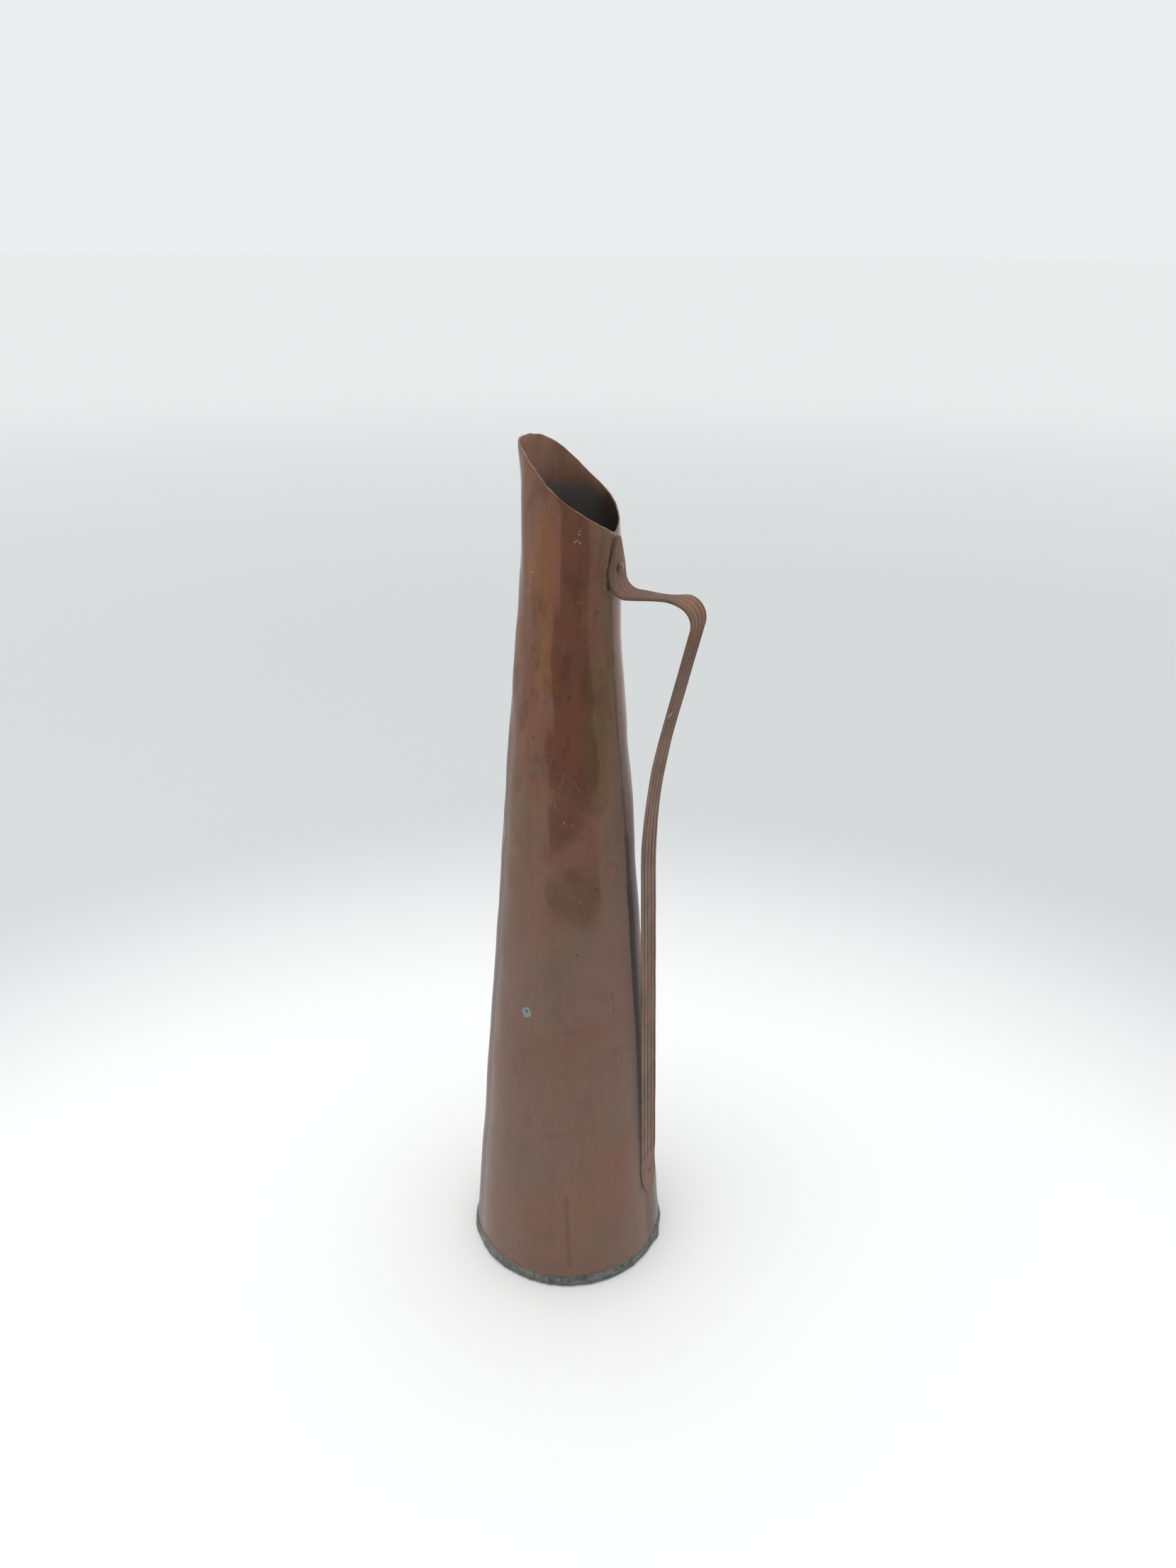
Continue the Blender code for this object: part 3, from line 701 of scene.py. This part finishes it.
def copper_outside():
    """Aged planished copper under old lacquer: red, olive and golden clouds over brown, a red stripe
    down the front that is partly a painted dark reflection, and painted shade and reflection beside the
    strap.
    """
    material, shader, principled, place = new_material("aged_sheet_copper")
    cloud = shader.noise(place, 15, 4, 0.55, distortion=0.5)
    patch = shader.noise(place, 42, 5, 0.62, distortion=0.6)
    tall = shader.noise(place, 34, 4, 0.55, stretch=(1, 1, 0.2), distortion=0.2)
    mottle = shader.noise(place, 130, 5, 0.65)
    wipe = shader.noise(place, 260, 4, 0.6, stretch=(1, 1, 0.07))
    grain = shader.noise(place, 1100, 4, 0.65)
    height = shader.node("ShaderNodeSeparateXYZ", {0: place}).outputs[2]
    upper = shader.ramp(height, 0.20, 0.34)

    brown = shader.mix(upper, srgb(114, 91, 81), srgb(113, 84, 66))
    red = shader.math("MULTIPLY", shader.ramp(cloud, 0.44, 0.6), shader.ramp(upper, 0, 1, 0.3, 0.6))
    colour = shader.mix(red, brown, srgb(117, 76, 64))
    olive = shader.math("MULTIPLY", shader.ramp(tall, 0.52, 0.66), shader.ramp(upper, 0, 1, 0.15, 0.7))
    colour = shader.mix(olive, colour, srgb(105, 89, 66))
    colour = shader.mix(shader.ramp(patch, 0.54, 0.64, 0.0, 0.4), colour, srgb(98, 82, 74))
    colour = shader.mix(shader.ramp(mottle, 0.55, 0.7, 0.0, 0.35), colour, srgb(124, 92, 74))
    wide = shader.shift(place, 0.012, 40)
    rosy = shader.near(wide, on_wall(-24, 69), 10 * MM, 22 * MM)
    colour = shader.mix(shader.math("MULTIPLY", rosy, 0.35), colour, srgb(124, 80, 74))
    orange = shader.near(wide, on_wall(-66, 40), 12 * MM, 26 * MM)
    colour = shader.mix(shader.math("MULTIPLY", orange, 0.35), colour, srgb(128, 86, 64))
    gold = shader.line(wide, on_wall(-95, 413), on_wall(-87, 348), 3 * MM, 8 * MM)
    colour = shader.mix(shader.math("MULTIPLY", gold, 0.5), colour, srgb(128, 90, 50))
    # A red-brown stripe down the front: partly red patina, partly a painted dark reflection.
    reflection_stripe = shader.line(wide, on_wall(-60, 428), on_wall(-58, 262), 10 * MM, 7 * MM)
    colour = shader.mix(shader.math("MULTIPLY", reflection_stripe, 0.4), colour, srgb(112, 66, 54))
    green = shader.line(wide, on_wall(-34, 350), on_wall(-33, 285), 2 * MM, 8 * MM)
    colour = shader.mix(shader.math("MULTIPLY", green, 0.45), colour, srgb(92, 80, 52))
    blotch = shader.noise(place, 75, 5, 0.6, stretch=(1, 1, 0.55), distortion=0.8)
    dark_red = shader.math("MULTIPLY", shader.ramp(blotch, 0.5, 0.62, 0.0, 0.5), upper)
    colour = shader.mix(dark_red, colour, srgb(92, 59, 49))
    lower = shader.ramp(upper, 0, 1, 1, 0)
    moss = shader.noise(place, 24, 4, 0.6, distortion=0.4)
    moss = shader.math("MULTIPLY", shader.ramp(moss, 0.48, 0.62, 0.0, 0.35), lower)
    colour = shader.mix(moss, colour, srgb(102, 88, 73))
    share = shader.ramp(upper, 0, 1, 0.12, 0.32)
    streaks = shader.math("MULTIPLY", shader.ramp(wipe, 0.42, 0.72), share)
    colour = shader.mix(streaks, colour, srgb(84, 62, 52))
    colour = shader.mix(shader.ramp(grain, 0.35, 0.75, 0.0, 0.18), colour, srgb(62, 44, 36))

    ragged_place = shader.shift(place, 0.0008, 120)
    # Painted shade and painted reflection: dark lines where the strap shades the wall beside it and is
    # mirrored in it.
    painted_strap_shade = []
    for start, end, width, strength in STRAP_SHADE_LINES:
        line = shader.line(ragged_place, on_wall(*start), on_wall(*end), width * MM, 1.3 * MM)
        painted_strap_shade.append(shader.math("MULTIPLY", line, strength))
    colour = shader.mix(shader.most(painted_strap_shade), colour, srgb(34, 26, 25))

    rough_place = shader.shift(place, 0.0011, 500)
    drip = shader.line(ragged_place, on_wall(-64.9, 60), on_wall(-62.6, 14), 0.5 * MM, 1.4 * MM)
    colour = shader.mix(shader.math("MULTIPLY", drip, 0.35), colour, srgb(80, 56, 44))
    pits = spots(shader, rough_place, DARK_PITS, 0.6 * MM)
    dark = scratches(shader, rough_place, DARK_SCRATCHES, 0.1 * MM, 0.5 * MM)
    dark = shader.math("MAXIMUM", pits, dark)
    colour = shader.mix(shader.math("MULTIPLY", dark, 0.5), colour, srgb(54, 40, 35))
    specks = spots(shader, rough_place, PALE_SPECKS, 0.3 * MM)
    light = scratches(shader, rough_place, PALE_SCRATCHES, 0.05 * MM, 0.4 * MM)
    specks = shader.math("MULTIPLY", specks, 0.7)
    pale = shader.math("MAXIMUM", specks, shader.math("MULTIPLY", light, 0.2))
    colour = shader.mix(pale, colour, srgb(168, 142, 122))
    centre = on_wall(*VERDIGRIS[:2])
    crust = shader.shift(place, 0.0012, 300)
    bloom = shader.near(crust, centre, VERDIGRIS[2] * MM, 0.7 * MM)
    colour = shader.mix(shader.math("MULTIPLY", bloom, 0.75), colour, srgb(132, 152, 154))
    hole = shader.near(place, centre + Vector((0, 0, 0.8 * MM)), 0.4 * MM, 0.6 * MM)
    colour = shader.mix(shader.math("MULTIPLY", hole, 0.85), colour, srgb(60, 52, 52))
    shader.plug(principled, "Base Color", colour)

    rough = shader.ramp(mottle, 0.3, 0.75, 0.13, 0.2)
    rough = shader.math("MULTIPLY_ADD", wipe, 0.06, rough)
    rough = shader.math("MAXIMUM", rough, shader.math("MULTIPLY", bloom, 0.85))
    shader.plug(principled, "Roughness", rough)
    principled.inputs["Metallic"].default_value = 0.28
    principled.inputs["Specular IOR Level"].default_value = 0.15
    principled.inputs["Specular Tint"].default_value = (0.6, 0.5, 0.45, 1.0)
    principled.inputs["Coat Weight"].default_value = 0.2
    principled.inputs["Coat Roughness"].default_value = 0.06
    principled.inputs["Coat IOR"].default_value = 1.45

    facets = shader.noise(place, 120, 2, 0.5)
    marks = shader.math("MULTIPLY_ADD", light, 0.3, dark)
    relief = shader.math("MULTIPLY", facets, 0.35)
    relief = shader.math("MULTIPLY_ADD", wipe, 0.05, relief)
    relief = shader.math("MULTIPLY_ADD", grain, 0.04, relief)
    relief = shader.math("MULTIPLY_ADD", marks, -0.3, relief)
    relief = shader.math("MULTIPLY_ADD", bloom, 0.3, relief)
    bump = shader.node("ShaderNodeBump", {"Height": relief, "Strength": 0.35, "Distance": 0.0006})
    shader.plug(principled, "Normal", bump.outputs[0])
    gloss = {"Height": relief, "Strength": 0.12, "Distance": 0.0006}
    shader.plug(principled, "Coat Normal", shader.node("ShaderNodeBump", gloss).outputs[0])
    return material


def copper_inside():
    """The bare inside: brown just below the rim, darkened to grey further down by painted shade."""
    material, shader, principled, place = new_material("inside_copper")
    cloud = shader.noise(place, 60, 5, 0.6, distortion=0.4)
    runs = shader.noise(place, 110, 4, 0.6, stretch=(1, 1, 0.1))
    across, _, height = shader.node("ShaderNodeSeparateXYZ", {0: place}).outputs
    # The edge of the painted shade runs lower towards the handle.
    shade_edge = shader.math("MULTIPLY_ADD", shader.math("MAXIMUM", across, 0.0), 0.9, height)
    shade_edge = shader.math("MULTIPLY_ADD", cloud, 0.006, shade_edge)
    unshaded = shader.ramp(shade_edge, 0.4285, 0.4395)
    shaded = shader.mix(shader.ramp(cloud, 0.35, 0.65), srgb(86, 86, 85), srgb(92, 86, 82))
    bright = shader.mix(shader.ramp(cloud, 0.4, 0.6), srgb(134, 101, 84), srgb(132, 90, 74))
    colour = shader.mix(unshaded, shaded, bright)
    # A darker patch just under the rim on the handle's side.
    dark_patch = shader.near(place, (17 * MM, 16 * MM, 419 * MM), 9 * MM, 9 * MM)
    colour = shader.mix(shader.math("MULTIPLY", dark_patch, 0.8), colour, srgb(66, 60, 58))
    colour = shader.mix(shader.ramp(runs, 0.5, 0.72, 0.0, 0.4), colour, srgb(66, 52, 46))
    shader.plug(principled, "Base Color", colour)
    shader.plug(principled, "Roughness", shader.ramp(runs, 0.3, 0.7, 0.5, 0.7))
    principled.inputs["Metallic"].default_value = 0.3
    principled.inputs["Specular IOR Level"].default_value = 0.3
    bump = shader.node("ShaderNodeBump", {"Height": runs, "Strength": 0.25, "Distance": 0.0005})
    shader.plug(principled, "Normal", bump.outputs[0])
    return material


def cut_edge():
    """The rim's cut edge, rubbed bright here and there."""
    material, shader, principled, place = new_material("cut_rim_edge")
    wear = shader.noise(place, 180, 3, 0.6)
    colour = shader.mix(shader.ramp(wear, 0.35, 0.65), srgb(106, 84, 70), srgb(150, 124, 106))
    shader.plug(principled, "Base Color", colour)
    shader.plug(principled, "Roughness", shader.ramp(wear, 0.3, 0.7, 0.3, 0.5))
    principled.inputs["Metallic"].default_value = 0.6
    return material


def copper_strap():
    """Dull satin copper: dark in the flutes, painted shade on the underside, worn warmer at the corner,
    and lighter on the ridges from wear and painted highlight.
    """
    material, shader, principled, place = new_material("aged_strap_copper")
    cloud = shader.noise(place, 60, 5, 0.6, distortion=0.4)
    lines = shader.noise(place, 60, 4, 0.6, stretch=(1, 26, 0.35))
    grain = shader.noise(place, 800, 4, 0.6)
    height = shader.node("ShaderNodeSeparateXYZ", {0: place}).outputs[2]
    upper = shader.ramp(height, 0.30, 0.38)
    base = shader.mix(upper, srgb(140, 114, 101), srgb(108, 82, 67))
    clouded = shader.mix(upper, srgb(120, 97, 86), srgb(104, 80, 66))
    colour = shader.mix(shader.ramp(cloud, 0.42, 0.6, 0.0, 0.5), base, clouded)
    colour = shader.mix(shader.ramp(lines, 0.46, 0.66, 0.0, 0.45), colour, srgb(82, 64, 57))
    groove = shader.node("ShaderNodeAttribute", attribute_name="groove").outputs["Fac"]
    # Dirt darkens the flutes, and painted shade darkens the strap's underside.
    dirt_and_underside_shade = shader.math("MULTIPLY", shader.ramp(groove, 0.45, 1.0), shader.ramp(lines, 0.3, 0.6, 0.5, 1))
    colour = shader.mix(shader.math("MULTIPLY", dirt_and_underside_shade, 0.75), colour, srgb(62, 48, 44))
    corner = Vector((GRIP_CORNER[0] - 4 * MM, 0, GRIP_CORNER[1] - 5 * MM))
    orange = shader.near(shader.shift(place, 0.004, 200), corner, 5 * MM, 12 * MM)
    colour = shader.mix(shader.math("MULTIPLY", orange, 0.4), colour, srgb(142, 102, 72))
    # Lighter ridges: partly rubbed wear, partly a painted highlight along them.
    worn = shader.node("ShaderNodeAttribute", attribute_name="worn").outputs["Fac"]
    rub_and_highlight = shader.math("MULTIPLY", worn, shader.ramp(grain, 0.35, 0.6, 0.1, 0.45))
    colour = shader.mix(rub_and_highlight, colour, shader.mix(upper, srgb(164, 136, 118), srgb(158, 128, 108)))
    colour = shader.mix(shader.ramp(grain, 0.35, 0.75, 0.0, 0.3), colour, srgb(66, 50, 44))
    nick = shader.line(shader.shift(place, 0.0006, 600), NICK_FROM, NICK_TO, 0.15 * MM, 0.35 * MM)
    colour = shader.mix(shader.math("MULTIPLY", nick, 0.9), colour, srgb(214, 196, 178))
    shader.plug(principled, "Base Color", colour)
    shader.plug(principled, "Roughness", shader.ramp(cloud, 0.3, 0.7, 0.42, 0.58))
    principled.inputs["Metallic"].default_value = 0.45
    principled.inputs["Specular IOR Level"].default_value = 0.2
    principled.inputs["Specular Tint"].default_value = (0.75, 0.65, 0.58, 1.0)
    relief = shader.math("MULTIPLY_ADD", grain, 0.2, lines)
    bump = shader.node("ShaderNodeBump", {"Height": relief, "Strength": 0.4, "Distance": 0.0004})
    shader.plug(principled, "Normal", bump.outputs[0])
    return material


def copper_rivet():
    material, shader, principled, place = new_material("aged_rivet_copper")
    cloud = shader.noise(place, 400, 4, 0.6)
    colour = shader.mix(shader.ramp(cloud, 0.35, 0.65), srgb(88, 62, 50), srgb(112, 82, 66))
    shader.plug(principled, "Base Color", colour)
    shader.plug(principled, "Roughness", shader.ramp(cloud, 0.3, 0.7, 0.4, 0.52))
    principled.inputs["Metallic"].default_value = 0.35
    principled.inputs["Coat Weight"].default_value = 0.2
    principled.inputs["Coat Roughness"].default_value = 0.2
    bump = shader.node("ShaderNodeBump", {"Height": cloud, "Strength": 0.3, "Distance": 0.0003})
    shader.plug(principled, "Normal", bump.outputs[0])
    return material


def tin_solder():
    """Oxidised solder: grey-green, lumpy, with the copper showing through thin places."""
    material, shader, principled, place = new_material("dull_solder")
    cloud = shader.noise(place, 85, 5, 0.65)
    mottle = shader.noise(place, 420, 4, 0.65)
    colour = shader.mix(shader.ramp(cloud, 0.36, 0.62), srgb(72, 75, 73), srgb(106, 109, 104))
    colour = shader.mix(shader.ramp(mottle, 0.5, 0.66, 0.0, 0.7), colour, srgb(134, 136, 130))
    thin = shader.noise(place, 140, 4, 0.6)
    colour = shader.mix(shader.ramp(thin, 0.55, 0.7, 0.0, 0.7), colour, srgb(92, 76, 66))
    height = shader.node("ShaderNodeSeparateXYZ", {0: place}).outputs[2]
    feathered = shader.math("MULTIPLY_ADD", mottle, 0.006, height)
    feathered = shader.math("MULTIPLY_ADD", thin, 0.006, feathered)
    # Painted shade: the band darkens towards the floor where it meets it.
    low = shader.ramp(height, 0.0005, 0.0035, 0.55, 0.0)
    colour = shader.mix(low, colour, srgb(58, 60, 58))
    band_edge = shader.ramp(feathered, 0.0115, 0.0145)
    on_foot = shader.ramp(height, 0.02, 0.03, 1.0, 0.0)
    colour = shader.mix(shader.math("MULTIPLY", band_edge, on_foot), colour, srgb(112, 90, 77))
    shader.plug(principled, "Base Color", colour)
    shader.plug(principled, "Roughness", shader.ramp(mottle, 0.3, 0.7, 0.45, 0.7))
    principled.inputs["Metallic"].default_value = 0.35
    relief = shader.math("MULTIPLY_ADD", mottle, 0.5, cloud)
    bump = shader.node("ShaderNodeBump", {"Height": relief, "Strength": 0.6, "Distance": 0.0006})
    shader.plug(principled, "Normal", bump.outputs[0])
    return material


# ---------------------------------------------------------------- studio

FLOOR_RADIUS = 60.0
FLOOR_SIDES = 128
FLOOR_Z = -0.4 * MM
# The painted pool of light on the floor centres this far in front of the can, towards the camera.
LIT_POOL_OFFSET = 200 * MM


def make_floor():
    """A wide pale floor with painted light: a white pool of light around the can, painted grey shade
    further off, and lighter again far away.
    """
    floor_mesh = bpy.data.meshes.new("studio_floor")
    turns = np.linspace(0, 2 * math.pi, FLOOR_SIDES, endpoint=False)
    ring = [(FLOOR_RADIUS * math.cos(t), FLOOR_RADIUS * math.sin(t), FLOOR_Z) for t in turns]
    floor_mesh.from_pydata(ring, [], [tuple(range(FLOOR_SIDES))])
    floor = bpy.data.objects.new("studio_floor", floor_mesh)
    bpy.context.scene.collection.objects.link(floor)
    material, shader, principled, place = new_material("studio_paper")
    turn = math.radians(CAMERA_AZIMUTH)
    lit_pool_centre = (LIT_POOL_OFFSET * math.sin(turn), -LIT_POOL_OFFSET * math.cos(turn), 0.0)
    gap = shader.node("ShaderNodeVectorMath", {0: place, 1: lit_pool_centre}, operation="DISTANCE")
    far = gap.outputs["Value"]
    # Painted light and shade: white near the pool's centre, grey in a ring further off, lighter far
    # away.
    colour = shader.mix(shader.ramp(far, 0.36, 0.78), srgb(250, 250, 250), srgb(208, 211, 211))
    colour = shader.mix(shader.ramp(far, 1.1, 5.0), colour, srgb(229, 232, 231))
    shader.plug(principled, "Base Color", colour)
    principled.inputs["Roughness"].default_value = 0.9
    principled.inputs["Specular IOR Level"].default_value = 0.0
    floor.data.materials.append(material)
    floor.visible_glossy = False


# The room that the copper reflects. Angles in degrees: level ones turn from the side of
# the can that the camera faces, and the others rise from the horizon. Each pair is the
# start and the end of a soft edge.
ROOM_TURN = CAMERA_AZIMUTH + 7
DARK_HALF = (42.5, 40.5)
DARK_BOTTOM = (-24, -18)
DARK_TOP = (38, 64)
GROUND_LINE = (-26, -12)
SCREEN_TURN = CAMERA_AZIMUTH + 77
SCREEN_HALF = (55, 51)
SIDE_SPREAD = 0.7

DARK = (0.02, 0.016, 0.014)
DARKNESS = 0.94
LEFT_WALL = (1.08, 1.06, 1.03)
RIGHT_WALL = (0.78, 0.82, 0.78)
LEFT_SCREEN = (0.7, 0.71, 0.73)
RIGHT_SCREEN = (1.5, 1.48, 1.56)
GROUND = (1.0, 1.01, 1.01)
GROUND_BEHIND = (0.5, 0.51, 0.52)
AMBIENT = (1.03, 1.04, 1.045)
BACKDROP = (0.825, 0.85, 0.85)


def cosines(angles):
    return [math.cos(math.radians(angle)) for angle in angles]


def sines(angles):
    return [math.sin(math.radians(angle)) for angle in angles]


def make_world():
    """A soft pale room. Gloss also sees the darker room beyond the table's front edge."""
    world = bpy.data.worlds.new("studio")
    bpy.context.scene.world = world
    world.use_nodes = True
    shader = Shader(world.node_tree)
    background = world.node_tree.nodes["Background"]
    way = shader.node("ShaderNodeTexCoord").outputs["Generated"]
    inputs = {0: way, 1: (1, 1, 0)}
    flat = shader.node("ShaderNodeVectorMath", inputs, operation="MULTIPLY").outputs[0]
    flat = shader.node("ShaderNodeVectorMath", {0: flat}, operation="NORMALIZE").outputs[0]
    rise = shader.node("ShaderNodeSeparateXYZ", {0: way}).outputs[2]

    def toward(direction):
        """The cosine of the level angle to this direction."""
        inputs = {0: flat, 1: direction}
        made = shader.node("ShaderNodeVectorMath", inputs, operation="DOT_PRODUCT")
        return made.outputs["Value"]

    turn = math.radians(ROOM_TURN)
    ahead = shader.ramp(toward((math.sin(turn), -math.cos(turn), 0.0)), *cosines(DARK_HALF))
    above = shader.ramp(rise, *sines(DARK_BOTTOM))
    below = shader.ramp(rise, *sines(DARK_TOP), 1.0, 0.0)
    dark = shader.math("MULTIPLY", shader.math("MULTIPLY", ahead, above), below)
    right = (math.cos(turn), math.sin(turn), 0.0)
    side = shader.ramp(toward(right), -SIDE_SPREAD, SIDE_SPREAD)
    turn = math.radians(SCREEN_TURN)
    behind = (math.cos(turn), math.sin(turn), 0.0)
    screen = shader.ramp(toward(behind), *cosines(SCREEN_HALF))
    walls = shader.mix(side, LEFT_WALL, RIGHT_WALL)
    walls = shader.mix(screen, walls, shader.mix(side, LEFT_SCREEN, RIGHT_SCREEN))
    ground = shader.mix(screen, GROUND, GROUND_BEHIND)
    low = shader.ramp(rise, *sines(GROUND_LINE), 1.0, 0.0)
    room = shader.mix(low, walls, ground)
    gloss = shader.mix(shader.math("MULTIPLY", dark, DARKNESS), room, DARK)
    rays = shader.node("ShaderNodeLightPath")
    colour = shader.mix(rays.outputs["Is Glossy Ray"], AMBIENT, gloss)
    colour = shader.mix(rays.outputs["Is Camera Ray"], colour, BACKDROP)
    shader.plug(background, "Color", colour)
    background.inputs["Strength"].default_value = 1.0


KEY_WIDTH = 2.2
KEY_DEPTH = 1.6
KEY_POWER = 5.0
KEY_LEFT = 1.3
KEY_FORWARD = 0.7
KEY_HEIGHT = 1.7
KEY_AIM_Z = 200 * MM


def make_lights():
    """One broad key from the upper left of the camera."""
    data = bpy.data.lights.new("key", "AREA")
    data.shape = "RECTANGLE"
    data.size = KEY_WIDTH
    data.size_y = KEY_DEPTH
    data.energy = KEY_POWER
    data.color = (1.0, 0.985, 0.96)
    light = bpy.data.objects.new("key", data)
    bpy.context.scene.collection.objects.link(light)
    turn = math.radians(CAMERA_AZIMUTH)
    left = Vector((-math.cos(turn), -math.sin(turn), 0))
    forward = Vector((math.sin(turn), -math.cos(turn), 0))
    light.location = left * KEY_LEFT + forward * KEY_FORWARD + Vector((0, 0, KEY_HEIGHT))
    aim = Vector((0, 0, KEY_AIM_Z)) - light.location
    light.rotation_euler = aim.to_track_quat("-Z", "Y").to_euler()
    light.visible_glossy = False


SENSOR = 36


def make_camera():
    turn = math.radians(CAMERA_AZIMUTH)
    data = bpy.data.cameras.new("camera")
    data.sensor_fit = "VERTICAL"
    data.sensor_height = SENSOR
    data.lens = SENSOR * FOCAL_SHARE
    data.clip_start = 0.01
    camera = bpy.data.objects.new("camera", data)
    bpy.context.scene.collection.objects.link(camera)
    camera.location = (
        CAMERA_DISTANCE * math.sin(turn),
        -CAMERA_DISTANCE * math.cos(turn),
        CAMERA_HEIGHT,
    )
    heading = turn - math.radians(CAMERA_TURN)
    tilt = math.radians(90 - CAMERA_TILT)
    look = Matrix.Rotation(heading, 4, "Z") @ Matrix.Rotation(tilt, 4, "X")
    look = look @ Matrix.Rotation(math.radians(CAMERA_ROLL), 4, "Z")
    camera.rotation_euler = look.to_euler()
    bpy.context.scene.camera = camera


# The hidden solder keeps its CAD shape.
SOLDERED = (
    "base_inner_fillet",
    "seam_braze_bead",
    "upper_rivet_seal",
    "lower_rivet_seal",
    "seam_rivet_seal",
)


def paint(node, material):
    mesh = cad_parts[node].data
    mesh.materials.clear()
    mesh.materials.append(material)


def main():
    bpy.context.scene.view_settings.view_transform = "Standard"
    make_camera()
    outside, inside, edge = copper_outside(), copper_inside(), cut_edge()
    solder, strap, rivet = tin_solder(), copper_strap(), copper_rivet()
    make_body(outside, inside, edge)
    make_foot_band(solder)
    make_strap(strap)
    for seed, sizes in enumerate(RIVETS, 1):
        make_rivet(*sizes, rivet, seed)
    paint("base_plate", inside)
    for node in SOLDERED:
        paint(node, solder)
    make_floor()
    make_world()
    make_lights()


main()
